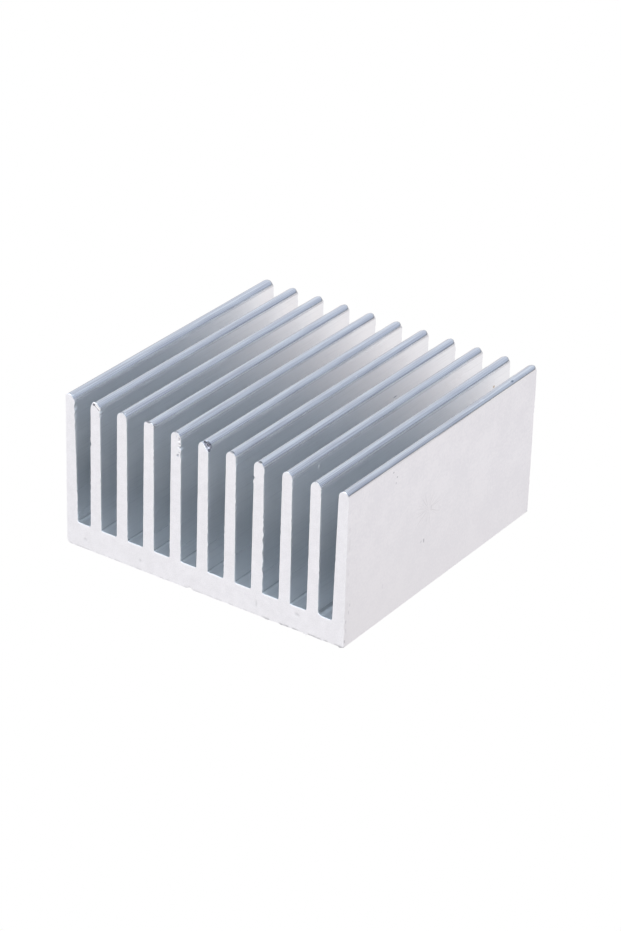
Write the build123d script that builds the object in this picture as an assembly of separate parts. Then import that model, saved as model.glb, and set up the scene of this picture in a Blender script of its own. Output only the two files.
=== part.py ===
from build123d import *

import os

# Extruded aluminium heat sink: one piece of metal, with a flat base under a row of straight fins.
# X runs across the fins, Y along the extrusion and Z upwards, in millimetres.
# The origin is the middle of the underside.

# Overall size
width = 40.0
length = 40.0
height = 20.0

# Base: its thickness is measured from the underside to the floors of the grooves
base_thickness = 3.2
left_foot_radius = 0.6
right_foot_radius = 0.18

# Fins: they narrow from root to tip, and the outer faces of the two end fins stand upright
fin_count = 11
edge_to_first_fin_line = 0.535
inner_root_thickness = 1.63
inner_tip_thickness = 1.43
outer_root_thickness = 1.72
outer_tip_thickness = 1.37
tip_radius = 0.68
right_rim_radius = 0.3
groove_corner_radius = 0.22

# Worked out from the sizes above
half_width = width / 2
fin_pitch = (width - 2 * edge_to_first_fin_line) / (fin_count - 1)
outer_groove_floor = fin_pitch + edge_to_first_fin_line - outer_root_thickness - inner_root_thickness / 2

# A round takes at most this share of the flat that it is cut from
round_share = 0.48
inner_tip_round = min(tip_radius, round_share * inner_tip_thickness)
outer_tip_round = min(tip_radius, round_share * outer_tip_thickness)
right_rim_round = min(right_rim_radius, round_share * outer_tip_thickness)
groove_round = min(groove_corner_radius, round_share * outer_groove_floor)
left_foot_round = min(left_foot_radius, round_share * base_thickness)
right_foot_round = min(right_foot_radius, round_share * base_thickness)


def left_end_fin():
    """Corners of the leftmost fin, each with its round, from its outer rim to the first groove."""
    return [
        ((-half_width, height), outer_tip_round),
        ((-half_width + outer_tip_thickness, height), outer_tip_round),
        ((-half_width + outer_root_thickness, base_thickness), groove_round),
    ]


def right_end_fin():
    """Corners of the rightmost fin, each with its round, from the last groove to its outer rim."""
    return [
        ((half_width - outer_root_thickness, base_thickness), groove_round),
        ((half_width - outer_tip_thickness, height), outer_tip_round),
        ((half_width, height), right_rim_round),
    ]


def inner_fin(middle):
    """Corners of a fin between two grooves, each with its round, from left to right."""
    half_root = inner_root_thickness / 2
    half_tip = inner_tip_thickness / 2
    return [
        ((middle - half_root, base_thickness), groove_round),
        ((middle - half_tip, height), inner_tip_round),
        ((middle + half_tip, height), inner_tip_round),
        ((middle + half_root, base_thickness), groove_round),
    ]


def section_corners():
    """Corners of the whole section with their rounds, from the left foot over the fins to the right foot."""
    corners = [((-half_width, 0), left_foot_round)]
    corners += left_end_fin()
    for index in range(1, fin_count - 1):
        corners += inner_fin((index - (fin_count - 1) / 2) * fin_pitch)
    corners += right_end_fin()
    corners.append(((half_width, 0), right_foot_round))
    return corners


def heat_sink():
    """The section, extruded evenly to both sides of the middle."""
    corners = section_corners()
    points = [point for point, radius in corners]
    rounds = [radius for point, radius in corners]
    with BuildPart() as body:
        with BuildSketch(Plane.XZ):
            with BuildLine():
                FilletPolyline(*points, radius=rounds, close=True)
            make_face()
        extrude(amount=length / 2, both=True)
    body.part.label = "heat_sink"
    return body.part


os.makedirs("parts", exist_ok=True)
export_step(heat_sink(), "parts/heat_sink.step")
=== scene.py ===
import math

import bpy
import numpy as np
from mathutils import Matrix, Vector


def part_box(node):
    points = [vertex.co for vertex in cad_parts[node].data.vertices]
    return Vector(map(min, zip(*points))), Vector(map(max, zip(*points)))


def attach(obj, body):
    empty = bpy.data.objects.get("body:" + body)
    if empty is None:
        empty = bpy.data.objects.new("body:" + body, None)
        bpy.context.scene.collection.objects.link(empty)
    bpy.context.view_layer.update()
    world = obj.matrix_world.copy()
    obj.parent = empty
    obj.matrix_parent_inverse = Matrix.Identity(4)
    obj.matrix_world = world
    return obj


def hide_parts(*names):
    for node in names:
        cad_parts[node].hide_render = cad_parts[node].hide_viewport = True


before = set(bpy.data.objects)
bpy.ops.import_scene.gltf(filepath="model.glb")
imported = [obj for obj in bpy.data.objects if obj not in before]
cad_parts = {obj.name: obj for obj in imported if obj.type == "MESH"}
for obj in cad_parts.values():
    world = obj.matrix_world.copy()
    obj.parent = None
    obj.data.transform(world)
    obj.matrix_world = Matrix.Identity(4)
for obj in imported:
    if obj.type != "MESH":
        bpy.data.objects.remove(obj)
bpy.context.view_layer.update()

MM = 0.001

# Overall size, from the solid model
low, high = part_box("heat_sink")
half_width = (high.x - low.x) / 2
half_length = (high.y - low.y) / 2
height = high.z - low.z

# Section, as in the solid model
fin_count = 11
base_thickness = 3.2 * MM
left_foot_radius = 0.6 * MM
right_foot_radius = 0.18 * MM
edge_to_first_fin_line = 0.535 * MM
inner_root_thickness = 1.63 * MM
inner_tip_thickness = 1.43 * MM
outer_root_thickness = 1.72 * MM
outer_tip_thickness = 1.37 * MM
groove_corner_radius = 0.22 * MM
fin_pitch = 2 * (half_width - edge_to_first_fin_line) / (fin_count - 1)

# Small departures of the real extrusion from that section: the tips are crowned and a little rounder, with
# other rounds on the two end fins, the last groove's left corner is rounder than the rest, and the groove
# floors lie a little higher at the left side
tip_crown = math.radians(10)
tip_left_radius = 0.76 * MM
tip_right_radius = 0.7 * MM
last_groove_corner = 0.5 * MM
end_tip_radii = {0: (0.42 * MM, 0.75 * MM), fin_count - 1: (0.76 * MM, 0.52 * MM)}
floor_rise = 0.09 * MM

# Fineness of the mesh
corner_steps = 4
coarse_rows = 74
fine_rows = 23
fine_rows_height = 2.7 * MM
tip_steps = 8
fin_columns = 10
floor_columns = 10
base_rows = 14

# Stations at which the section is repeated, in millimetres from the front end and from the rear end
front_stations = [0.0, 0.04, 0.11, 0.2, 0.32, 0.5, 0.8, 1.3, 2.2, 4.0, 8.0, 14.0]
rear_stations = [0.0, 0.04, 0.12, 0.25, 0.4, 0.6, 1.0, 2.2, 5.5, 12.0]

# The sawn ends: how far their edges are broken, how far the faces that look right are drawn in, how far the
# tips sink and over which length, and how far along the part the burrs reach
edge_break = 0.03 * MM
tip_edge_break = 0.045 * MM
right_edge_draw = 0.045 * MM
front_sink = 0.004 * MM
rear_sink = 0.1 * MM
left_rear_sink = 0.12 * MM
front_sink_reach = 0.3 * MM
rear_sink_reach = 0.6 * MM
burr_reach = 0.34 * MM

# Relief of the surface
die_line_height = 0.0006 * MM
wave_height = 0.004 * MM
wave_length = 27 * MM
rough_burr_height = 0.06 * MM
slow_burr_height = 0.018 * MM
under_burr_height = 0.3 * MM

BODY = "root"
front = -half_length
rear = half_length


def blend_points(start, end, share):
    """The point at this share of the way from start to end."""
    return (start[0] + (end[0] - start[0]) * share, start[1] + (end[1] - start[1]) * share)


def smooth_noise(places, spacing, seed):
    """Seeded noise from -1 to 1 that changes over about this spacing, read at these places."""
    scaled = np.asarray(places, float) / spacing
    first = int(np.floor(scaled.min()))
    count = int(np.floor(scaled.max())) - first + 2
    knots = np.random.RandomState(seed).uniform(-1, 1, count)
    whole = np.floor(scaled).astype(int)
    part = scaled - whole
    part = part * part * (3 - 2 * part)
    return knots[whole - first] * (1 - part) + knots[whole - first + 1] * part


def fade(values, full, none):
    """1 where a value is at full, 0 where it is at none, and smooth between them."""
    share = np.clip((np.asarray(values) - none) / (full - none), 0, 1)
    return share * share * (3 - 2 * share)


def fin_middle(index):
    """x of a fin's middle line, for the fins between the two end fins."""
    return (index - (fin_count - 1) / 2) * fin_pitch


def groove_floor(x):
    """Height of the groove floors at this x."""
    return base_thickness - floor_rise * x / half_width


def fin_faces(index):
    """x of a fin's faces: left at its root and tip, then right at its root and tip."""
    if index == 0:
        return -half_width, -half_width, -half_width + outer_root_thickness, -half_width + outer_tip_thickness
    if index == fin_count - 1:
        return half_width - outer_root_thickness, half_width - outer_tip_thickness, half_width, half_width
    middle = fin_middle(index)
    half_root = inner_root_thickness / 2
    half_tip = inner_tip_thickness / 2
    return middle - half_root, middle - half_tip, middle + half_root, middle + half_tip


def tip_radii(index):
    """Radii of the rounds at the left and right of a fin's tip."""
    return end_tip_radii.get(index, (tip_left_radius, tip_right_radius))


def crown_rise(index):
    """How much the slight crown of a fin's tip rises above the ends of its rounds."""
    left_tip, right_tip = fin_faces(index)[1::2]
    half_flat = (right_tip - left_tip - sum(tip_radii(index)) * (1 - math.sin(tip_crown))) / 2
    return half_flat * math.tan(tip_crown) / 2


def groove_radius(index, side):
    """Radius of the groove's corner at the foot of a fin. side is -1 for left."""
    return last_groove_corner if (index, side) == (fin_count - 2, 1) else groove_corner_radius


def fin_side(root, tip, side, top_radius, foot_radius, outer, crown):
    """Points up one side of a fin, from the floor to the end of its tip's round. side is -1 for left."""
    floor = groove_floor(root)
    lean = (tip - root) / (height - floor)
    corner = floor + foot_radius
    shoulder = height - crown - top_radius * math.cos(tip_crown)
    split = height - fine_rows_height
    points = []
    for angle in np.linspace(0, math.pi / 2, corner_steps + 1)[:-1]:
        away = 0 if outer else side * foot_radius * (1 - math.sin(angle))
        z = corner - foot_radius * math.cos(angle)
        points.append((root + away, z))
    coarse = np.linspace(corner, split, coarse_rows)[:-1]
    for z in np.concatenate([coarse, np.linspace(split, shoulder, fine_rows)]):
        points.append((root + lean * (z - floor), z))
    centre = root + lean * (shoulder - floor) - side * top_radius
    for angle in np.linspace(0, math.pi / 2 - tip_crown, tip_steps + 1)[1:]:
        points.append((centre + side * top_radius * math.cos(angle), shoulder + top_radius * math.sin(angle)))
    return points


def foot_height(x, side, radius):
    """Height of the rounded foot above the underside at this x."""
    inward = half_width - side * x
    if inward >= radius:
        return 0.0
    return radius - math.sqrt(max(radius ** 2 - (radius - inward) ** 2, 0.0))


def foot_inset(z, radius):
    """How far the rounded foot lies inside the outer face at this height."""
    if z >= radius:
        return 0.0
    return radius - math.sqrt(radius ** 2 - (radius - z) ** 2)


class Section:
    """The cross-section as a grid of quads, with its outline and the kind of each outline edge."""

    def __init__(self):
        self.points = []
        self.quads = []
        self.outline = []
        self.kinds = []
        fins = [self.fin(index) for index in range(fin_count)]
        floors = [self.floor(fins[index], fins[index + 1]) for index in range(fin_count - 1)]
        base = self.base(fins, floors)
        self.trace(fins, floors, base)

    def add(self, point):
        """Keeps a point and returns its number."""
        self.points.append(point)
        return len(self.points) - 1

    def fin(self, index):
        """Point numbers of one fin, row by row from its root to its tip."""
        left_root, left_tip, right_root, right_tip = fin_faces(index)
        left_radius, right_radius = tip_radii(index)
        crown = crown_rise(index)
        left_foot = groove_radius(index, -1)
        right_foot = groove_radius(index, 1)
        left = fin_side(left_root, left_tip, -1, left_radius, left_foot, index == 0, crown)
        right = fin_side(right_root, right_tip, 1, right_radius, right_foot, index == fin_count - 1, crown)
        shares = np.linspace(0, 1, fin_columns + 1)
        lines = [[blend_points(a, b, share) for share in shares] for a, b in zip(left, right)]
        lines[-1] = [(x, z + crown * (1 - (2 * share - 1) ** 2)) for (x, z), share in zip(lines[-1], shares)]
        rows = [[self.add(point) for point in line] for line in lines]
        self.fill(rows)
        return rows

    def floor(self, left_fin, right_fin):
        """Point numbers of a groove's floor between the feet of two fins, without the end points."""
        start = self.points[left_fin[0][-1]]
        end = self.points[right_fin[0][0]]
        shares = np.linspace(0, 1, floor_columns + 1)[1:-1]
        return [self.add(blend_points(start, end, share)) for share in shares]

    def base(self, fins, floors):
        """Point numbers of the base, row by row from the groove floors to the underside."""
        top = list(fins[0][0])
        for fin, floor in zip(fins[1:], floors):
            top += floor + fin[0]
        left_corner = left_foot_radius * (1 - math.sqrt(0.5))
        right_corner = right_foot_radius * (1 - math.sqrt(0.5))
        left_squeeze = 1 - left_corner / (2 * left_foot_radius)
        right_squeeze = 1 - right_corner / (2 * right_foot_radius)
        bottom = []
        for number in top:
            x = self.points[number][0]
            if x < -half_width + 2 * left_foot_radius:
                x = -half_width + left_corner + (x + half_width) * left_squeeze
            if x > half_width - 2 * right_foot_radius:
                x = half_width - right_corner - (half_width - x) * right_squeeze
            z = foot_height(x, -1, left_foot_radius) + foot_height(x, 1, right_foot_radius)
            bottom.append((x, z))
        rows = [top]
        for share in 1 - np.linspace(1, 0, base_rows + 1)[1:] ** 1.6:
            row = [blend_points(self.points[number], point, share) for number, point in zip(top, bottom)]
            row[0] = (-half_width + foot_inset(row[0][1], left_foot_radius), row[0][1])
            row[-1] = (half_width - foot_inset(row[-1][1], right_foot_radius), row[-1][1])
            rows.append([self.add(point) for point in row])
        self.fill(rows)
        return rows

    def fill(self, rows):
        """Quads between neighbouring rows of point numbers."""
        for lower, upper in zip(rows, rows[1:]):
            for step in range(len(lower) - 1):
                self.quads.append((lower[step], lower[step + 1], upper[step + 1], upper[step]))

    def walk(self, numbers, kinds):
        """Appends points to the outline, each with the kind of the edge that leaves it."""
        self.outline += numbers
        self.kinds += kinds

    def trace(self, fins, floors, base):
        """The outline: up from the left foot, over the fins, down to the right foot and back underneath."""
        round_start = len(fins[0]) - 1 - tip_steps
        climb = ["floor"] * corner_steps + ["wall"] * (round_start - corner_steps) + ["tip"] * tip_steps
        outer = ["side"] * round_start + ["tip"] * tip_steps
        self.walk([row[0] for row in reversed(base[1:])], ["side"] * base_rows)
        for index, fin in enumerate(fins):
            self.walk([row[0] for row in fin[:-1]], outer if index == 0 else climb)
            self.walk(fin[-1][:-1], ["tip"] * fin_columns)
            descent = outer if index == fin_count - 1 else climb
            self.walk([row[-1] for row in reversed(fin[1:])], descent[::-1])
            if index < fin_count - 1:
                self.walk([fin[0][-1]] + floors[index], ["floor"] * floor_columns)
        self.walk([fins[-1][0][-1]] + [row[-1] for row in base[1:-1]], ["side"] * base_rows)
        self.walk(base[-1][:0:-1], ["under"] * (len(base[-1]) - 1))


def outward(loop):
    """Unit vectors that point out of a closed outline, one for each of its points."""
    along = np.roll(loop, -1, axis=0) - np.roll(loop, 1, axis=0)
    across = np.stack([-along[:, 1], along[:, 0]], axis=1)
    return across / np.linalg.norm(across, axis=1)[:, None]


def surface_relief(lengths, stations):
    """How far each point of the swept surface stands out: die lines along the part, and a slow waviness."""
    lines = die_line_height * smooth_noise(lengths, 1.9 * MM, 12)
    slow = wave_height * smooth_noise(lengths, 9 * MM, 13)
    waves = [math.sin(2 * math.pi * (y / wave_length + 0.3)) for y in stations]
    return np.array([lines + slow * wave for wave in waves])


def end_burrs(lengths, normals, on_tip, seed):
    """How far the metal is pushed out at the rim of a sawn end, more where the face looks to the right."""
    rough = smooth_noise(lengths, 0.3 * MM, seed)
    patches = np.clip(0.45 + smooth_noise(lengths, 2.3 * MM, seed + 1), 0, 1)
    slow = smooth_noise(lengths, 1.1 * MM, seed + 2)
    looks_right = normals[:, 0] > 0.5
    side = np.where(looks_right, 1.0, 0.45) * (1 - 0.7 * on_tip)
    drawn_in = np.where(looks_right, right_edge_draw, 0)
    return side * (rough_burr_height * rough * patches + slow_burr_height * slow) - drawn_in


def under_burrs(loop):
    """How far the saw's burr hangs from the bottom edge: hardly at the left, more at the right."""
    x = loop[:, 0]
    ragged = np.clip(0.25 + 0.75 * smooth_noise(x, 0.42 * MM, 51), 0, 1)
    patches = np.clip(0.2 + smooth_noise(x, 1.9 * MM, 52), 0, 1)
    share = 0.25 + 0.75 * fade(x, 13 * MM, 8 * MM)
    under = (loop[:, 1] < 0.02 * MM) & (np.abs(x) < half_width - 0.3 * MM)
    return np.where(under, under_burr_height * ragged * patches * share, 0)


def tip_share(z):
    """1 on the tips, 0 below them, and smooth between the two."""
    return fade(z, height - 0.3 * MM, height - 0.9 * MM)


def rear_drop(across):
    """How far a tip sinks at the rear end, by how far it faces to the right: most at its left shoulder."""
    return np.where(across < -0.3, left_rear_sink, rear_sink)


def draw_in(flat, at_rear):
    """Points inside a sawn end, drawn in towards the core of their fin's tip as much as the rim is."""
    middles = np.array([sum(fin_faces(index)[1::2]) / 2 for index in range(fin_count)])
    nearest = middles[np.abs(flat[:, :1] - middles).argmin(axis=1)]
    away = flat - np.stack([nearest, np.full(len(flat), height - tip_left_radius)], axis=1)
    across = away[:, 0] / (np.linalg.norm(away, axis=1) + 0.01 * MM)
    drop = tip_edge_break + (rear_drop(across) if at_rear else front_sink)
    return flat - away * (tip_share(flat[:, 1]) * drop / tip_left_radius)[:, None]


def sweep(section):
    """Vertices of the outline at each station, as an array of stations by points by 3."""
    loop = np.array([section.points[number] for number in section.outline])
    normals = outward(loop)
    steps = np.linalg.norm(np.roll(loop, -1, axis=0) - loop, axis=1)
    lengths = np.concatenate([[0], np.cumsum(steps)[:-1]])
    stations = [front + offset * MM for offset in front_stations] + [0.0]
    stations += [rear - offset * MM for offset in reversed(rear_stations)]
    stations = np.array(stations)
    relief = surface_relief(lengths, stations)
    on_tip = tip_share(loop[:, 1])
    break_by = np.maximum(edge_break, on_tip * tip_edge_break)
    front_burrs = end_burrs(lengths, normals, on_tip, 31) + under_burrs(loop)
    rear_burrs = end_burrs(lengths, normals, on_tip, 41)
    grid = np.zeros((len(stations), len(loop), 3))
    for row, y in enumerate(stations):
        out = relief[row].copy()
        out += front_burrs * fade(y, front, front + burr_reach)
        out += rear_burrs * fade(y, rear, rear - burr_reach)
        out -= on_tip * front_sink * max(0, 1 - (y - front) / front_sink_reach) ** 2
        out -= on_tip * rear_drop(normals[:, 0]) * max(0, 1 - (rear - y) / rear_sink_reach) ** 2
        if row in (0, len(stations) - 1):
            out -= break_by
        grid[row, :, 0] = loop[:, 0] + normals[:, 0] * out
        grid[row, :, 1] = y
        grid[row, :, 2] = loop[:, 1] + normals[:, 1] * out
    return grid, lengths, stations


def push(points, place, reach, shift):
    """Moves the points near a place by up to this shift, fading over its reach. All in millimetres."""
    away = (points / MM - np.array(place)) / np.array(reach)
    share = np.clip(1 - (away ** 2).sum(axis=1), 0, 1) ** 2
    points += share[:, None] * np.array(shift) * MM


def push_all(points, marks):
    """Applies a list of marks, each with its place, reach and shift in millimetres."""
    for place, reach, shift in marks:
        push(points, place, reach, shift)


def edge_x(index, side, z):
    """x in millimetres of a fin's left or right face at this height in millimetres."""
    left_root, left_tip, right_root, right_tip = fin_faces(index)
    root, tip = (left_root, left_tip) if side < 0 else (right_root, right_tip)
    share = (z * MM - base_thickness) / (height - base_thickness)
    return (root + (tip - root) * share) / MM


def edge_dent(index, side, z, depth, long):
    """A place where a fin's edge is knocked in at the front end, or bulges where depth is negative."""
    return ((edge_x(index, side, z), -20, z), (0.6, 0.55, long), (-side * depth, 0, 0))


def dent_edge(points, index, side, dents):
    """Knocks in or bulges one edge of a fin at several heights."""
    push_all(points, [edge_dent(index, side, *dent) for dent in dents])


def first_fin_marks(points):
    """The wavy inner edge of the first fin."""
    dent_edge(points, 0, 1, [
        (19.1, -0.04, 0.45),
        (18.5, 0.1, 0.6),
        (18.0, -0.05, 0.35),
        (17.4, 0.08, 0.6),
        (16.0, 0.06, 0.9),
    ])


def second_fin_marks(points):
    """A pit and a gouge across the end of the second fin, with a raised lip above the gouge."""
    push_all(points, [
        ((-15.9, -20, 20.0), (0.45, 0.4, 0.5), (0.02, 0, 0.17)),
        ((-15.3, -20, 19.95), (0.4, 0.35, 0.35), (0.03, 0, 0.06)),
        ((-14.92, -20, 19.45), (0.35, 0.4, 0.4), (0.13, 0, 0.02)),
        edge_dent(1, 1, 19.08, 0.05, 0.2),
        edge_dent(1, 1, 18.83, -0.06, 0.2),
        edge_dent(1, 1, 18.58, 0.05, 0.2),
        edge_dent(1, -1, 14.4, 0.14, 0.16),
        edge_dent(1, -1, 19.4, 0.05, 0.5),
        ((-15.77, -20, 19.75), (0.2, 0.4, 0.16), (0, 0.12, 0)),
    ])
    for x, z in [(-15.56, 19.58), (-15.37, 19.43), (-15.17, 19.28), (-14.99, 19.14)]:
        push(points, (x, -20, z), (0.17, 0.4, 0.13), (0, 0.08, 0))


def fourth_fin_marks(points):
    """The tip of the fourth fin, pressed square and a little up at the front end."""
    push_all(points, [
        ((-8.3, -20, 19.8), (0.5, 0.6, 0.5), (-0.1, 0, 0.1)),
        ((-7.32, -20, 19.75), (0.5, 0.6, 0.5), (0.13, 0, 0.13)),
    ])


def fifth_fin_marks(points):
    """The ragged right edge of the fifth fin, with small torn pits beside it."""
    dent_edge(points, 4, 1, [
        (17.82, -0.09, 0.22),
        (18.18, 0.13, 0.2),
        (18.6, -0.05, 0.2),
        (17.2, 0.07, 0.25),
        (16.6, -0.05, 0.3),
    ])
    pits = [(-3.61, 17.11, 0.22), (-3.44, 17.5, 0.1), (-3.46, 18.2, 0.2), (-3.36, 18.6, 0.12)]
    pits += [(-3.42, 19.0, 0.16), (-3.52, 19.32, 0.1), (-3.75, 19.55, 0.14)]
    for x, z, depth in pits:
        push(points, (x, -20, z), (0.15, 0.4, 0.13), (0, depth, 0))


# The torn shoulder of the middle fin: x and z at which the torn line starts, the direction in which it is
# torn, how deep it is, and how far behind that the metal is moved. All in millimetres.
torn_from = (-0.1, 19.85)
torn_slant = (0.77, 0.64)
torn_depth = 0.42
torn_reach = 0.35


def sixth_fin_marks(points):
    """The right shoulder of the middle fin, torn off along a slanting line and left rough."""
    x, y, z = points.T / MM
    above = (x - torn_from[0]) * torn_slant[0] + (z - torn_from[1]) * torn_slant[1]
    near = (np.abs(x - 0.4) < 0.75) & (z > 18.5) & (y < -19.0)
    torn = np.clip(above / 0.16, 0, 1) * near
    ragged = 0.16 * smooth_noise(x * 3.1 + z * 2.3, 0.35, 61) + 0.1 * smooth_noise(x * 5 - z * 4, 0.4, 62)
    line = -20 + (torn_depth + ragged) * torn + torn_reach
    behind = np.clip((line - y) / (line + 20), 0, 1)
    moved = np.where(y < line, line - torn_reach * behind, y)
    points[:, 1] = np.where(torn > 0, moved, y) * MM
    rough = torn * np.clip((-19.1 - y) / 0.5, 0, 1)
    points[:, 0] += rough * 0.05 * smooth_noise(x * 7 + y * 5 + z * 9, 0.5, 63) * MM
    points[:, 2] -= rough * (0.015 + 0.03 * smooth_noise(x * 9 - y * 6 + z * 5, 0.5, 64)) * MM
    push(points, (0.62, -19.75, 19.45), (0.22, 0.22, 0.2), (-0.08, 0, -0.05))


def eighth_fin_marks(points):
    """The wavy right edge low on the eighth fin, and a nick at its upper left."""
    dent_edge(points, 7, 1, [
        (10.8, -0.07, 0.4),
        (10.1, 0.1, 0.35),
        (9.3, -0.1, 0.4),
        (8.4, 0.07, 0.4),
        (7.4, -0.09, 0.45),
        (6.3, 0.08, 0.4),
        (5.4, -0.09, 0.4),
    ])
    dent_edge(points, 7, -1, [(17.8, 0.12, 0.3), (17.3, -0.05, 0.3)])


def base_marks(points):
    """Pits in the sawn face of the base, a nick in its bottom edge and a nib at its right corner."""
    push_all(points, [
        ((-17.2, -20, 1.3), (0.35, 0.4, 0.28), (0, 0.1, 0)),
        ((-9.0, -20, 1.3), (0.3, 0.4, 0.3), (0, 0.09, 0)),
        ((7.8, -20, 1.5), (0.28, 0.4, 0.6), (0, 0.1, 0)),
        ((13.5, -20, 2.1), (0.4, 0.4, 0.3), (0, 0.1, 0)),
        ((-1.75, -20, 0.0), (0.5, 0.5, 0.45), (0, 0.12, 0.16)),
        ((19.5, -20, 0.0), (0.3, 0.4, 0.3), (0, 0, -0.12)),
        ((16.9, -20, 0.0), (0.4, 0.4, 0.3), (0, 0, -0.06)),
        ((20, -20, 4.3), (0.5, 0.5, 0.5), (-0.07, 0, 0)),
        ((20, -20, 3.5), (0.5, 0.5, 0.35), (0.05, 0, 0)),
        ((20, -20, 2.9), (0.5, 0.5, 0.35), (-0.09, 0, 0)),
        ((20, -20, 2.1), (0.5, 0.5, 0.5), (0.04, 0, 0)),
        ((20, -20, 1.0), (0.5, 0.5, 0.6), (-0.06, 0, 0)),
        ((19.35, -20, 1.9), (0.18, 0.4, 1.6), (0, 0.05, 0)),
    ])


# Painted shade in the torn pits, dents, nicks and pits of the sawn face, and thin lines of painted shade on
# the fin tips just behind the front rims: place and size in millimetres, and how dark, from 0 to 1
painted_shade_spots = [
    ((-16.33, -20, 14.4), (0.14, 0.3, 0.14), 0.7),
    ((-3.61, -20, 17.11), (0.12, 0.25, 0.1), 0.7),
    ((-3.42, -20, 17.5), (0.12, 0.25, 0.1), 0.5),
    ((-3.4, -20, 18.2), (0.13, 0.25, 0.12), 0.75),
    ((-3.32, -20, 18.62), (0.12, 0.25, 0.12), 0.6),
    ((-3.4, -20, 19.3), (0.13, 0.25, 0.13), 0.6),
    ((-0.3, -19.9, 20.0), (0.2, 0.15, 0.1), 0.4),
    ((7.05, -20, 17.75), (0.14, 0.3, 0.14), 0.4),
    ((15.5, -19.93, 20.0), (0.3, 0.14, 0.12), 0.5),
    ((7.9, -19.93, 20.0), (0.3, 0.18, 0.12), 1.0),
    ((4.05, -19.93, 20.0), (0.35, 0.15, 0.14), 0.8),
    ((-3.9, -19.93, 20.0), (0.35, 0.15, 0.12), 0.6),
    ((-7.9, -19.93, 20.0), (0.35, 0.15, 0.12), 0.9),
    ((-11.7, -19.93, 20.0), (0.3, 0.14, 0.12), 0.6),
    ((-17.2, -20, 1.3), (0.22, 0.3, 0.18), 0.2),
    ((-9.0, -20, 1.3), (0.16, 0.3, 0.2), 0.22),
    ((7.8, -20, 1.5), (0.14, 0.3, 0.4), 0.2),
    ((13.5, -20, 2.1), (0.3, 0.3, 0.16), 0.22),
    ((-1.75, -20, 0.12), (0.3, 0.3, 0.14), 0.25),
]


def rim_painted_shade(points):
    """Faint painted shade along the rims: on the burrs under the front face, and as a painted dark reflection
    on the right face beside the front rim.
    """
    x, y, z = points.T
    burrs = fade(z, 0.0, 0.3 * MM) * fade(y, front, front + 0.4 * MM)
    burrs = burrs * np.clip(0.35 + smooth_noise(x, 0.45 * MM, 71), 0, 1)
    burrs = burrs * (0.4 + 0.6 * fade(x, 13 * MM, 6 * MM))
    beside = (x > half_width - 0.05 * MM) * fade(np.abs(y - front - 0.45 * MM), 0, 0.4 * MM)
    patches = np.clip(0.3 + smooth_noise(z, 0.8 * MM, 73), 0, 1)
    return np.maximum(0.5 * burrs, 0.08 * beside * patches)


def painted_shade_of(points):
    """How much painted shade each point gets, from 0 to 1."""
    painted_shade = rim_painted_shade(points)
    for place, size, dark in painted_shade_spots:
        away = (points / MM - np.array(place)) / np.array(size) / 1.35
        painted_shade = np.maximum(painted_shade, dark * np.clip(1 - (away ** 2).sum(axis=1), 0, 1))
    return painted_shade


MATERIAL_ORDER = ["wall", "floor", "tip", "side", "under", "sawn", "edge"]


def body_mesh(section):
    """The heat sink as one closed mesh: its points, faces, kinds of faces, places for UVs and rims."""
    grid, lengths, stations = sweep(section)
    rows, count = grid.shape[:2]
    coordinates = [grid.reshape(-1, 3)]
    uv_of = [np.stack([np.repeat(stations, count), np.tile(lengths, rows)], axis=1)]
    rims = [np.repeat(np.isin(np.arange(rows), (0, rows - 1)), count)]
    faces = []
    kinds = []
    for row in range(rows - 1):
        broken = row in (0, rows - 2)
        for point in range(count):
            after = (point + 1) % count
            corner = row * count
            faces.append((corner + point, corner + after, corner + count + after, corner + count + point))
            kinds.append("edge" if broken else section.kinds[point])
    on_outline = {number: place for place, number in enumerate(section.outline)}
    inner = [number for number in range(len(section.points)) if number not in on_outline]
    flat = np.array([section.points[number] for number in inner])
    for row, y in ((0, front), (rows - 1, rear)):
        start = sum(len(block) for block in coordinates)
        place_of = {number: row * count + place for number, place in on_outline.items()}
        place_of.update({number: start + step for step, number in enumerate(inner)})
        drawn = draw_in(flat, row > 0)
        coordinates.append(np.stack([drawn[:, 0], np.full(len(flat), y), drawn[:, 1]], axis=1))
        uv_of.append(flat)
        rims.append(np.zeros(len(flat), bool))
        for quad in section.quads:
            places = tuple(place_of[number] for number in quad)
            faces.append(places if row == 0 else places[::-1])
            kinds.append("sawn")
    return np.concatenate(coordinates), faces, kinds, np.concatenate(uv_of), np.concatenate(rims)


def sharpen_ring(mesh, first, last):
    """Marks the edges between the vertices of one station as sharp."""
    ends = np.zeros(2 * len(mesh.edges), int)
    mesh.edges.foreach_get("vertices", ends)
    sharp = np.zeros(len(mesh.edges), bool)
    mesh.edges.foreach_get("use_edge_sharp", sharp)
    ring = ((ends >= first) & (ends < last)).reshape(-1, 2).all(axis=1)
    mesh.edges.foreach_set("use_edge_sharp", sharp | ring)


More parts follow.
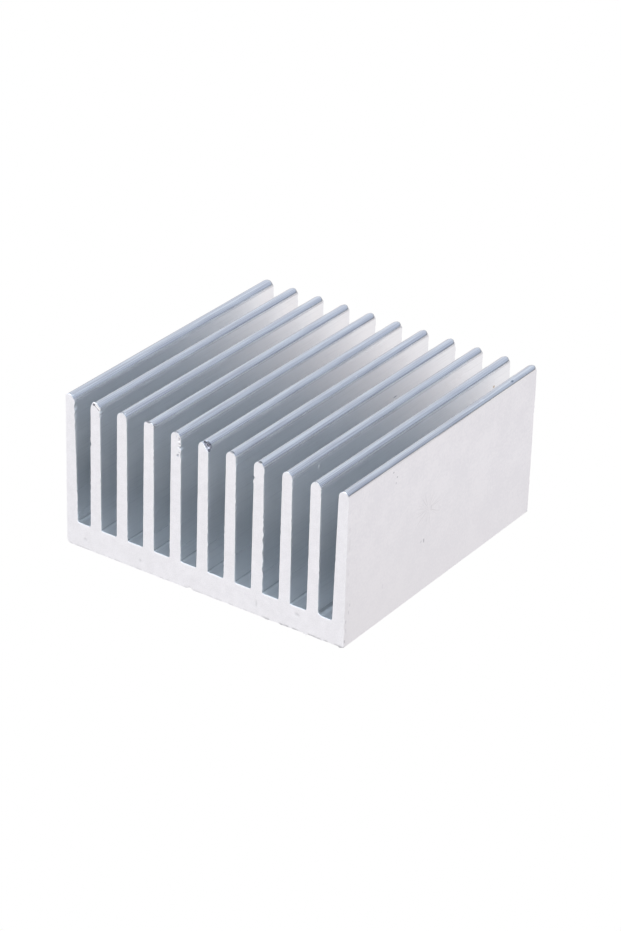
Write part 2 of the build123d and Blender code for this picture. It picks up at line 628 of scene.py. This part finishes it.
def make_body(materials):
    """The heat sink's body as an object, with its materials, smooth shading and sharp rims."""
    section = Section()
    points, faces, kinds, uv_places, rims = body_mesh(section)
    for add_marks in (first_fin_marks, second_fin_marks, fourth_fin_marks, fifth_fin_marks, sixth_fin_marks,
                      eighth_fin_marks, base_marks):
        add_marks(points)
    mesh = bpy.data.meshes.new("heat_sink_body")
    mesh.from_pydata(points.tolist(), [], faces)
    for kind in MATERIAL_ORDER:
        mesh.materials.append(materials[kind])
    mesh.polygons.foreach_set("material_index", [MATERIAL_ORDER.index(kind) for kind in kinds])
    layer = mesh.uv_layers.new(name="die")
    corners = np.zeros(len(mesh.loops), int)
    mesh.loops.foreach_get("vertex_index", corners)
    layer.data.foreach_set("uv", (uv_places[corners] / MM).ravel())
    mesh.attributes.new("rim", "FLOAT", "POINT").data.foreach_set("value", rims.astype(float))
    # Painted shade for each point, read by the metal shaders
    mesh.attributes.new("painted_shade", "FLOAT", "POINT").data.foreach_set("value", painted_shade_of(points))
    mesh.polygons.foreach_set("use_smooth", [True] * len(faces))
    mesh.set_sharp_from_angle(angle=math.radians(32))
    before_rear_break = (len(front_stations) + len(rear_stations) - 1) * len(section.outline)
    sharpen_ring(mesh, before_rear_break, before_rear_break + len(section.outline))
    mesh.update()
    mesh.validate()
    body = bpy.data.objects.new("heat_sink_body", mesh)
    bpy.context.scene.collection.objects.link(body)
    return body


def add_node(tree, kind, settings=None, **inputs):
    """A node with its settings, and each input either set to a value or linked from a socket."""
    node = tree.nodes.new(kind)
    for key, value in (settings or {}).items():
        setattr(node, key, value)
    for key, value in inputs.items():
        feed(tree, node.inputs[key.replace("_", " ")], value)
    return node


def feed(tree, socket, value):
    """Sets a socket to a value, or links another socket into it."""
    if isinstance(value, bpy.types.NodeSocket):
        tree.links.new(value, socket)
    else:
        socket.default_value = value


def maths(tree, operation, *values):
    """The result of a Math node on these values or sockets."""
    node = add_node(tree, "ShaderNodeMath", {"operation": operation})
    for socket, value in zip(node.inputs, values):
        feed(tree, socket, value)
    return node.outputs[0]


def plus(tree, first, second):
    """The sum of two values or sockets."""
    return maths(tree, "ADD", first, second)


def minus(tree, first, second):
    """The difference of two values or sockets."""
    return maths(tree, "SUBTRACT", first, second)


def times(tree, first, second):
    """The product of two values or sockets."""
    return maths(tree, "MULTIPLY", first, second)


def remap(tree, value, from_low, from_high, to_low, to_high, smooth=False):
    """A value moved from one range to another, held at its ends."""
    node = add_node(tree, "ShaderNodeMapRange", {"interpolation_type": "SMOOTHSTEP" if smooth else "LINEAR"})
    for name, entry in (("Value", value), ("From Min", from_low), ("From Max", from_high),
                        ("To Min", to_low), ("To Max", to_high)):
        feed(tree, node.inputs[name], entry)
    return node.outputs[0]


def mix_colours(tree, share, first, second):
    """A colour between two others."""
    node = add_node(tree, "ShaderNodeMix", {"data_type": "RGBA"})
    feed(tree, node.inputs[0], share)
    feed(tree, node.inputs[6], first if isinstance(first, bpy.types.NodeSocket) else (*first, 1))
    feed(tree, node.inputs[7], second if isinstance(second, bpy.types.NodeSocket) else (*second, 1))
    return node.outputs[2]


def object_place(tree):
    """The place on the object, as X, Y and Z."""
    coordinate = add_node(tree, "ShaderNodeTexCoord")
    return add_node(tree, "ShaderNodeSeparateXYZ", Vector=coordinate.outputs["Object"]).outputs


def away_from(tree, place):
    """The way to each point of the object from a place, which is given in millimetres."""
    coordinate = add_node(tree, "ShaderNodeTexCoord")
    away = add_node(tree, "ShaderNodeVectorMath", {"operation": "SUBTRACT"})
    tree.links.new(coordinate.outputs["Object"], away.inputs[0])
    away.inputs[1].default_value = Vector(place) * MM
    return away.outputs[0]


def blend_noise(tree, first, second, share):
    """Two noises added, the first with this share."""
    return plus(tree, times(tree, first, share), times(tree, second, 1 - share))


def noise_range(tree, noise, low_value, high_value, spread=0.2):
    """A value that follows a noise, which runs this far to both sides of its middle."""
    return remap(tree, noise, 0.5 - spread, 0.5 + spread, low_value, high_value)


def noise_tone(tree, noise, dull, bright, spread=0.2):
    """A colour that follows a noise from dull to bright."""
    return mix_colours(tree, noise_range(tree, noise, 0.0, 1.0, spread), dull, bright)


def paint(tree, colour, mask, share, tone):
    """The colour with a tone laid over it where the mask is 1, as strongly as the share says."""
    return mix_colours(tree, times(tree, mask, share), colour, tone)


def streaks(tree, along, across, detail):
    """Noise drawn out along the part. It changes over these lengths, in millimetres."""
    place = add_node(tree, "ShaderNodeUVMap", {"uv_map": "die"})
    squeeze = add_node(tree, "ShaderNodeMapping", Vector=place.outputs["UV"])
    squeeze.inputs["Scale"].default_value = (1 / along, 1 / across, 1)
    noise = add_node(tree, "ShaderNodeTexNoise", {"noise_dimensions": "2D"}, Vector=squeeze.outputs["Vector"])
    noise.inputs["Scale"].default_value = 1.0
    noise.inputs["Detail"].default_value = detail
    return noise.outputs["Fac"]


def speckle(tree, size, detail):
    """Noise of this size in millimetres, the same in all directions."""
    place = add_node(tree, "ShaderNodeTexCoord")
    noise = add_node(tree, "ShaderNodeTexNoise", Vector=place.outputs["Object"])
    noise.inputs["Scale"].default_value = 1 / (size * MM)
    noise.inputs["Detail"].default_value = detail
    return noise.outputs["Fac"]


def spot(tree, place, size, softness=0.5):
    """1 inside an ellipsoid at this place, 0 outside, both given in millimetres."""
    scaled = add_node(tree, "ShaderNodeVectorMath", {"operation": "DIVIDE"})
    tree.links.new(away_from(tree, place), scaled.inputs[0])
    scaled.inputs[1].default_value = Vector(size) * MM
    length = add_node(tree, "ShaderNodeVectorMath", {"operation": "LENGTH"})
    tree.links.new(scaled.outputs[0], length.inputs[0])
    return remap(tree, length.outputs["Value"], softness, 1.0, 1.0, 0.0, smooth=True)


def finish_metal(tree, colour, roughness, height_map, depth, anisotropy):
    """The metal shader, darkened by the painted shade stored on the mesh. Where it is drawn, its reflections
    spread across the die lines.
    """
    # Painted shade: pits, dents, nicks, burrs and rims darkened towards a near-black tone
    painted_shade = add_node(tree, "ShaderNodeAttribute", {"attribute_name": "painted_shade"})
    colour = mix_colours(tree, painted_shade.outputs["Fac"], colour, painted_shade_tone)
    bump = add_node(tree, "ShaderNodeBump", Height=height_map, Strength=1.0, Distance=depth)
    shader = add_node(tree, "ShaderNodeBsdfPrincipled", Metallic=1.0, Base_Color=colour, Roughness=roughness)
    tree.links.new(bump.outputs[0], shader.inputs["Normal"])
    if anisotropy:
        shader.inputs["Anisotropic"].default_value = anisotropy
        shader.inputs["Anisotropic Rotation"].default_value = 0.25
        tangent = add_node(tree, "ShaderNodeTangent", {"direction_type": "UV_MAP", "uv_map": "die"})
        tree.links.new(tangent.outputs[0], shader.inputs["Tangent"])
    output = add_node(tree, "ShaderNodeOutputMaterial")
    tree.links.new(shader.outputs[0], output.inputs["Surface"])


def new_material(name):
    """An empty node material, with its node tree."""
    material = bpy.data.materials.new(name)
    material.use_nodes = True
    material.node_tree.nodes.clear()
    return material, material.node_tree


# Tones of the bare metal, dull and bright, for each kind of surface
drawn_dull = (0.944, 0.954, 0.9635)
drawn_bright = (0.968, 0.9775, 0.9865)
# The groove floors are darker than the walls, as painted shade at the bottoms of the grooves
floor_shaded_dull = (0.67, 0.7, 0.72)
floor_shaded_bright = (0.735, 0.765, 0.785)
tip_dull = (0.8, 0.785, 0.805)
tip_bright = (0.985, 0.985, 0.975)
side_dull = (0.862, 0.86, 0.884)
side_bright = (0.934, 0.929, 0.944)
side_low = (0.79, 0.778, 0.78)
under_dull = (0.83, 0.835, 0.85)
under_bright = (0.89, 0.895, 0.905)
sawn_dull = (0.85, 0.852, 0.868)
sawn_bright = (0.93, 0.93, 0.945)
edge_dull = (0.84, 0.86, 0.89)
edge_bright = (0.95, 0.965, 0.98)

# Tones of marks, of painted shade and of painted highlights
pure_white = (1.0, 1.0, 1.0)
painted_shade_tone = (0.06, 0.06, 0.075)
# Painted shade towards the front of the fin tips
front_tip_shade_tone = (0.05, 0.05, 0.05)
torn_dark = (0.17, 0.17, 0.2)
torn_pale = (0.7, 0.7, 0.76)
scratch_tone = (0.5, 0.52, 0.56)
ding_tone = (0.16, 0.22, 0.27)
scuff_tone = (0.6, 0.59, 0.6)
speck_tone = (0.45, 0.45, 0.48)

# Heights of the grain and lines on each kind of surface
wall_line_height = 0.00008 * MM
floor_line_height = 0.0004 * MM
tip_line_height = 0.001 * MM
side_line_height = 0.0005 * MM
under_line_height = 0.0008 * MM
sawn_grain_height = 0.003 * MM
edge_grain_height = 0.002 * MM

# Heights of three single marks: a tick on a wall, a ding and a nick on the tips
tick_height = 0.12 * MM
ding_depth = 0.02 * MM
nick_height = 0.03 * MM

# Small marks on the groove walls: place and size in millimetres, and tone
wall_marks = [
    ((16.3, 16.3, 17.5), (0.3, 0.3, 0.2), (0.6, 0.52, 0.42)),
    ((16.3, 9.28, 19.37), (0.3, 0.3, 0.12), (0.66, 0.67, 0.71)),
    ((8.5, 6.68, 17.6), (0.3, 0.5, 0.1), (0.45, 0.47, 0.52)),
]

# Height at which the groove walls are roughest
roughest_height = 13.5 * MM


def torn_metal(tree, colour):
    """The colour, but dark with pale specks where the middle fin's right shoulder is torn off."""
    here = object_place(tree)
    across = times(tree, minus(tree, here["X"], torn_from[0] * MM), torn_slant[0])
    upward = times(tree, minus(tree, here["Z"], torn_from[1] * MM), torn_slant[1])
    beyond = remap(tree, plus(tree, across, upward), -0.02 * MM, 0.02 * MM, 0.0, 1.0)
    torn = times(tree, beyond, spot(tree, (0.35, -19.85, 19.5), (0.75, 0.62, 0.9), 0.8))
    specks = remap(tree, speckle(tree, 0.2, 2.0), 0.5, 0.6, 0.0, 1.0)
    return mix_colours(tree, torn, colour, mix_colours(tree, specks, torn_dark, torn_pale))


def gouge(tree, start, end, half_breadth):
    """1 along a straight line on the front end, 0 beside it. All in millimetres, and the ends are x and z."""
    long = math.hypot(end[0] - start[0], end[1] - start[1])
    rightward = (end[0] - start[0]) / long
    upward = (end[1] - start[1]) / long
    here = object_place(tree)
    right = minus(tree, here["X"], start[0] * MM)
    up = minus(tree, here["Z"], start[1] * MM)
    along = plus(tree, times(tree, right, rightward), times(tree, up, upward))
    across = minus(tree, times(tree, up, rightward), times(tree, right, upward))
    off_line = maths(tree, "ABSOLUTE", across)
    beside = remap(tree, off_line, 0.4 * half_breadth * MM, 1.4 * half_breadth * MM, 1.0, 0.0)
    begun = remap(tree, along, -0.05 * MM, 0.05 * MM, 0.0, 1.0)
    ended = remap(tree, along, (long - 0.1) * MM, (long + 0.05) * MM, 1.0, 0.0)
    at_front = maths(tree, "LESS_THAN", here["Y"], 0.0)
    inside = times(tree, at_front, maths(tree, "MINIMUM", begun, ended))
    return times(tree, beside, inside)


def groove_wall():
    """The walls of the grooves: satin, with straight fine die lines and a few small marks."""
    material, tree = new_material("groove_wall")
    fine = streaks(tree, 80, 0.12, 2.0)
    both = blend_noise(tree, fine, streaks(tree, 40, 0.9, 1.0), 0.6)
    colour = noise_tone(tree, both, drawn_dull, drawn_bright)
    scratches = remap(tree, streaks(tree, 7, 0.1, 1.0), 0.62, 0.74, 0.0, 0.15)
    colour = mix_colours(tree, scratches, colour, scratch_tone)
    for place, size, tone in wall_marks:
        colour = mix_colours(tree, spot(tree, place, size), colour, tone)
    # The tick is painted white as a highlight, and also raised as a bump
    tick = spot(tree, (12.4, -14.83, 18.6), (0.3, 0.2, 0.45), 0.1)
    colour = mix_colours(tree, tick, colour, pure_white)
    surface = plus(tree, fine, times(tree, tick, tick_height / wall_line_height))
    from_middle = maths(tree, "ABSOLUTE", minus(tree, object_place(tree)["Z"], roughest_height))
    rougher = remap(tree, from_middle, 1.0 * MM, 5.5 * MM, 0.07, 0.0, smooth=True)
    roughness = plus(tree, noise_range(tree, both, 0.265, 0.4), rougher)
    finish_metal(tree, torn_metal(tree, colour), roughness, surface, wall_line_height, 0.5)
    return material


def groove_floor_metal():
    """The floors of the grooves and their rounded corners: rougher than the walls, and darker in tone as
    painted shade at the bottoms of the grooves.
    """
    material, tree = new_material("groove_floor")
    fine = streaks(tree, 60, 0.12, 2.0)
    colour = noise_tone(tree, fine, floor_shaded_dull, floor_shaded_bright)
    finish_metal(tree, colour, noise_range(tree, fine, 0.38, 0.52), fine, floor_line_height, 0.4)
    return material


def fin_tip():
    """The fin tips: the smoothest surface, with bright and dark streaks along them, and duller shoulders."""
    material, tree = new_material("fin_tip")
    here = object_place(tree)
    fine = streaks(tree, 24, 0.11, 2.0)
    both = blend_noise(tree, fine, streaks(tree, 5, 0.3, 1.0), 0.65)
    colour = noise_tone(tree, both, tip_dull, tip_bright, 0.12)
    # Painted shade: the tips darken towards the front end
    front_shade = remap(tree, here["Y"], 2 * MM, 18 * MM, 0.1, 0.0)
    colour = mix_colours(tree, front_shade, colour, front_tip_shade_tone)
    # The ding is painted dark as shade in its hollow, and the knocks are painted white as highlights
    ding = spot(tree, (19.72, 14.7, 19.95), (0.19, 0.42, 0.3), 0.2)
    knock = spot(tree, (19.3, 15.3, 20), (0.2, 0.8, 0.3), 0.2)
    knock_highlights = plus(tree, knock, spot(tree, (19.55, 8.2, 20), (0.25, 0.7, 0.3), 0.2))
    colour = paint(tree, colour, ding, 0.75, ding_tone)
    colour = paint(tree, colour, knock_highlights, 0.5, pure_white)
    nick = spot(tree, (4.42, 4.6, 19.8), (0.25, 0.25, 0.25), 0.1)
    surface = minus(tree, fine, times(tree, ding, ding_depth / tip_line_height))
    surface = plus(tree, surface, times(tree, nick, nick_height / tip_line_height))
    shoulder = remap(tree, here["Z"], height - 0.65 * MM, height - 0.2 * MM, 0.3, 0.0, smooth=True)
    roughness = plus(tree, noise_range(tree, both, 0.1, 0.2), shoulder)
    finish_metal(tree, torn_metal(tree, colour), roughness, surface, tip_line_height, 0.3)
    return material


def scuff(tree, place, reach):
    """Fine scratches that spread from one place: 1 on a scratch, fading to 0 at the reach."""
    parts = add_node(tree, "ShaderNodeSeparateXYZ", Vector=away_from(tree, place))
    turn = maths(tree, "ARCTAN2", parts.outputs["Z"], parts.outputs["Y"])
    rays = add_node(tree, "ShaderNodeTexNoise", {"noise_dimensions": "1D"}, W=turn)
    rays.inputs["Scale"].default_value = 7.0
    rays.inputs["Detail"].default_value = 2.0
    near = spot(tree, place, (reach, reach, reach), 0.1)
    return times(tree, near, remap(tree, rays.outputs["Fac"], 0.5, 0.66, 0.0, 1.0))


# Specks on the right outer face: place and size in millimetres, and how dark, from 0 to 1
side_specks = [
    ((20, -3.9, 6.8), (0.5, 0.16, 0.36), 0.8),
    ((20, -4.5, 6.9), (0.5, 0.3, 0.2), 0.25),
    ((20, -10.2, 17.9), (0.5, 0.16, 0.13), 0.8),
    ((20, -11.0, 18.8), (0.5, 0.14, 0.14), 0.8),
    ((20, -10.4, 17.2), (0.5, 0.1, 0.18), 0.7),
    ((20, -2.6, 10.6), (0.5, 0.12, 0.5), 0.25),
    ((20, -12.4, 4.6), (0.5, 0.09, 0.5), 0.2),
    ((20, -19.05, 5.3), (0.5, 0.14, 0.3), 0.35),
    ((20, -19.25, 4.4), (0.5, 0.12, 0.35), 0.35),
    ((20, -19.75, 3.4), (0.5, 0.14, 0.3), 0.45),
    ((20, -19.7, 2.2), (0.5, 0.1, 0.4), 0.3),
    ((20, -19.8, 0.8), (0.5, 0.16, 0.3), 0.45),
]


def outer_side():
    """The two outer faces: satin and faintly mottled, darker towards the bottom and the front, with a few
    specks and a scuff.
    """
    material, tree = new_material("outer_side")
    here = object_place(tree)
    both = blend_noise(tree, speckle(tree, 3.5, 3.0), speckle(tree, 0.3, 3.0), 0.5)
    colour = noise_tone(tree, both, side_dull, side_bright, 0.1)
    # Darker towards the bottom and the front
    upward = plus(tree, here["Z"], times(tree, here["Y"], 0.25))
    below = remap(tree, upward, -4 * MM, 14 * MM, 0.5, 0.0)
    colour = mix_colours(tree, below, colour, side_low)
    colour = paint(tree, colour, scuff(tree, (20, -3.2, 10.7), 3.2), 0.5, scuff_tone)
    for place, size, share in side_specks:
        colour = paint(tree, colour, spot(tree, place, size), share, speck_tone)
    fine = streaks(tree, 30, 0.2, 2.0)
    finish_metal(tree, colour, noise_range(tree, both, 0.3, 0.42), fine, side_line_height, 0.2)
    return material


def underside():
    """The underside: drawn, with die lines."""
    material, tree = new_material("underside")
    fine = streaks(tree, 60, 0.16, 3.0)
    colour = noise_tone(tree, fine, under_dull, under_bright)
    finish_metal(tree, colour, noise_range(tree, fine, 0.28, 0.42), fine, under_line_height, 0.4)
    return material


def sawn_end():
    """The sawn ends: rough, pale and speckled, with painted highlights along their rims, and a gouge with
    painted shade in it and in a pit beside it, and a painted highlight along its lip.
    """
    material, tree = new_material("sawn_end")
    grain = speckle(tree, 0.14, 2.0)
    both = blend_noise(tree, grain, speckle(tree, 0.9, 2.0), 0.65)
    colour = noise_tone(tree, both, sawn_dull, sawn_bright, 0.14)
    # Painted highlight along the rims of the sawn ends
    rim = add_node(tree, "ShaderNodeAttribute", {"attribute_name": "rim"})
    colour = mix_colours(tree, remap(tree, rim.outputs["Fac"], 0.2, 1.0, 0.0, 0.8), colour, pure_white)
    # Painted highlight along the lip of the gouge
    colour = paint(tree, colour, gouge(tree, (-15.66, 19.86), (-14.8, 19.2), 0.12), 0.8, pure_white)
    # Painted shade in the gouge and in the pit at its upper end
    groove = times(tree, gouge(tree, (-15.76, 19.73), (-14.97, 19.13), 0.055), 0.6)
    pit = spot(tree, (-15.77, -20, 19.75), (0.2, 0.6, 0.18), 0.55)
    colour = mix_colours(tree, maths(tree, "MAXIMUM", groove, pit), colour, painted_shade_tone)
    roughness = noise_range(tree, both, 0.42, 0.54)
    finish_metal(tree, torn_metal(tree, colour), roughness, grain, sawn_grain_height, 0)
    return material


def broken_edge():
    """The broken edges round the sawn ends: burnished and bright."""
    material, tree = new_material("broken_edge")
    grain = speckle(tree, 0.12, 1.0)
    colour = torn_metal(tree, noise_tone(tree, grain, edge_dull, edge_bright))
    finish_metal(tree, colour, noise_range(tree, grain, 0.28, 0.42), grain, edge_grain_height, 0)
    return material


def make_materials():
    """One finish for each kind of surface."""
    return {
        "wall": groove_wall(),
        "floor": groove_floor_metal(),
        "tip": fin_tip(),
        "side": outer_side(),
        "under": underside(),
        "sawn": sawn_end(),
        "edge": broken_edge(),
    }


# The table as the metal mirrors it: white near the object, in shade behind it, and the dim room far off at
# the right
table_white = (0.905, 0.883, 0.9)
table_reach = 0.16
room_reach = 0.6
room_tone = (0.32, 0.315, 0.33)
shade_tone = (0.985, 0.745, 0.665)
foot_tone = (0.445, 0.455, 0.475)

# The table as the lamps light it
paper_tone = (0.8, 0.8, 0.8)


def white_table():
    """White to the camera and pale paper to the lamps. The metal mirrors its own tones for it, from above."""
    material, tree = new_material("white_table")
    path = add_node(tree, "ShaderNodeLightPath")
    gloss_ray = maths(tree, "MAXIMUM", path.outputs["Is Glossy Ray"], path.outputs["Is Transmission Ray"])
    place = add_node(tree, "ShaderNodeNewGeometry")
    distance = add_node(tree, "ShaderNodeVectorMath", {"operation": "LENGTH"})
    tree.links.new(place.outputs["Position"], distance.inputs[0])
    parts = add_node(tree, "ShaderNodeSeparateXYZ", Vector=place.outputs["Position"])
    right = remap(tree, parts.outputs["X"], -0.05, 0.15, 0.0, 1.0, smooth=True)
    far = remap(tree, distance.outputs["Value"], table_reach, room_reach, 0.0, 1.0, smooth=True)
    far = times(tree, far, right)
    behind = remap(tree, parts.outputs["Y"], 50 * MM, 22 * MM, 0.0, 1.0, smooth=True)
    behind = times(tree, behind, maths(tree, "GREATER_THAN", parts.outputs["Y"], half_length))
    aside = remap(tree, maths(tree, "ABSOLUTE", parts.outputs["X"]), 14 * MM, 21 * MM, 1.0, 0.0)
    at_foot = remap(tree, parts.outputs["Y"], 32 * MM, 22 * MM, 0.0, 1.0, smooth=True)
    shade = mix_colours(tree, at_foot, shade_tone, foot_tone)
    sheet = mix_colours(tree, times(tree, behind, aside), table_white, shade)
    tone = mix_colours(tree, far, sheet, room_tone)
    mirrored = add_node(tree, "ShaderNodeEmission", Color=tone, Strength=1.0)
    seen = add_node(tree, "ShaderNodeEmission", Color=(1, 1, 1, 1), Strength=1.0)
    paper = add_node(tree, "ShaderNodeBsdfDiffuse", Color=(*paper_tone, 1))
    clear = add_node(tree, "ShaderNodeBsdfTransparent")
    shader = paper.outputs[0]
    layers = [(gloss_ray, mirrored), (path.outputs["Is Camera Ray"], seen)]
    for share, other in layers + [(place.outputs["Backfacing"], clear)]:
        layer = add_node(tree, "ShaderNodeMixShader", Fac=share)
        tree.links.new(shader, layer.inputs[1])
        tree.links.new(other.outputs[0], layer.inputs[2])
        shader = layer.outputs[0]
    output = add_node(tree, "ShaderNodeOutputMaterial")
    tree.links.new(shader, output.inputs["Surface"])
    return material


def make_floor():
    """The plain white table, just under the burrs of the bottom edge."""
    bpy.ops.mesh.primitive_plane_add(size=8.0, location=(0, 0, -0.3 * MM))
    floor = bpy.context.object
    floor.name = "floor"
    floor.data.materials.append(white_table())


# The tent as the metal mirrors it, at the left and at the right: height of the direction, from 0 level to 1
# straight up, and tone
left_tones = [
    (0.12, (0.66, 0.67, 0.72)),
    (0.4, (0.67, 0.735, 0.845)),
    (0.72, (0.67, 0.735, 0.85)),
    (0.92, (1.9, 2.15, 2.4)),
]
right_tones = [
    (0.1, (0.22, 0.245, 0.285)),
    (0.4, (0.465, 0.53, 0.66)),
    (0.72, (0.465, 0.53, 0.66)),
    (0.92, (1.25, 1.4, 1.55)),
]


def tone_by_height(tree, height_share, tones):
    """The tent's colour by the height of the direction, from these places and tones."""
    ramp = add_node(tree, "ShaderNodeValToRGB", Fac=height_share)
    ramp.color_ramp.interpolation = "EASE"
    stops = ramp.color_ramp.elements
    for place, tone in tones[1:-1]:
        stops.new(place).color = (*tone, 1)
    stops[0].position, stops[0].color = tones[0][0], (*tones[0][1], 1)
    stops[-1].position, stops[-1].color = tones[-1][0], (*tones[-1][1], 1)
    return ramp.outputs["Color"]


def make_world():
    """A studio tent: white to the camera, and for the metal paler low at the left than low at the right."""
    world = bpy.data.worlds.new("studio")
    bpy.context.scene.world = world
    world.use_nodes = True
    tree = world.node_tree
    tree.nodes.clear()
    path = add_node(tree, "ShaderNodeLightPath")
    place = add_node(tree, "ShaderNodeTexCoord")
    parts = add_node(tree, "ShaderNodeSeparateXYZ", Vector=place.outputs["Generated"])
    left = tone_by_height(tree, parts.outputs["Z"], left_tones)
    right = tone_by_height(tree, parts.outputs["Z"], right_tones)
    turn = remap(tree, parts.outputs["X"], -0.5, 0.6, 0.0, 1.0, smooth=True)
    tent = add_node(tree, "ShaderNodeBackground", Color=mix_colours(tree, turn, left, right), Strength=1.0)
    white = add_node(tree, "ShaderNodeBackground", Color=(1, 1, 1, 1), Strength=1.0)
    shown = add_node(tree, "ShaderNodeMixShader", Fac=path.outputs["Is Camera Ray"])
    tree.links.new(tent.outputs[0], shown.inputs[1])
    tree.links.new(white.outputs[0], shown.inputs[2])
    output = add_node(tree, "ShaderNodeOutputWorld")
    tree.links.new(shown.outputs[0], output.inputs["Surface"])


def direction(azimuth, elevation):
    """Unit vector from the object towards a place at this azimuth and elevation, in degrees."""
    a = math.radians(azimuth)
    e = math.radians(elevation)
    return Vector((math.sin(a) * math.cos(e), -math.cos(a) * math.cos(e), math.sin(e)))


def make_lamp(name, azimuth, elevation, distance, size, power):
    """A soft square lamp that looks at the object from this direction."""
    data = bpy.data.lights.new(name, "AREA")
    data.shape = "SQUARE"
    data.size = size
    data.energy = power
    lamp = bpy.data.objects.new(name, data)
    bpy.context.scene.collection.objects.link(lamp)
    back = direction(azimuth, elevation)
    lamp.location = back * distance
    lamp.rotation_mode = "QUATERNION"
    lamp.rotation_quaternion = back.to_track_quat("Z", "Y")


# Camera, as in the photo
camera_azimuth = 34.05
camera_elevation = 28.40
camera_roll = 1.70
camera_distance = 380.44 * MM
camera_target = Vector((1.23 * MM, 0, 8.80 * MM))
camera_lens = 123.22


def make_camera():
    """The camera at the photo's viewing angle."""
    data = bpy.data.cameras.new("camera")
    data.lens = camera_lens
    data.sensor_width = 36.0
    data.clip_start = 0.01
    data.clip_end = 20.0
    camera = bpy.data.objects.new("camera", data)
    bpy.context.scene.collection.objects.link(camera)
    back = direction(camera_azimuth, camera_elevation)
    right = Vector((math.cos(math.radians(camera_azimuth)), math.sin(math.radians(camera_azimuth)), 0))
    up = back.cross(right)
    roll = math.radians(camera_roll)
    rolled_right = right * math.cos(roll) + up * math.sin(roll)
    rolled_up = up * math.cos(roll) - right * math.sin(roll)
    axes = Matrix((rolled_right, rolled_up, back)).transposed()
    camera.matrix_world = Matrix.Translation(camera_target + back * camera_distance) @ axes.to_4x4()
    bpy.context.scene.camera = camera


def main():
    body = make_body(make_materials())
    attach(body, BODY)
    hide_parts("heat_sink")
    make_floor()
    make_world()
    make_lamp("key_lamp", azimuth=-32, elevation=26, distance=0.9, size=0.5, power=3.4)
    make_lamp("fill_lamp", azimuth=70, elevation=45, distance=1.0, size=0.6, power=2.0)
    make_camera()
    scene = bpy.context.scene
    scene.view_settings.view_transform = "Standard"
    scene.cycles.max_bounces = 24
    scene.cycles.glossy_bounces = 20


main()
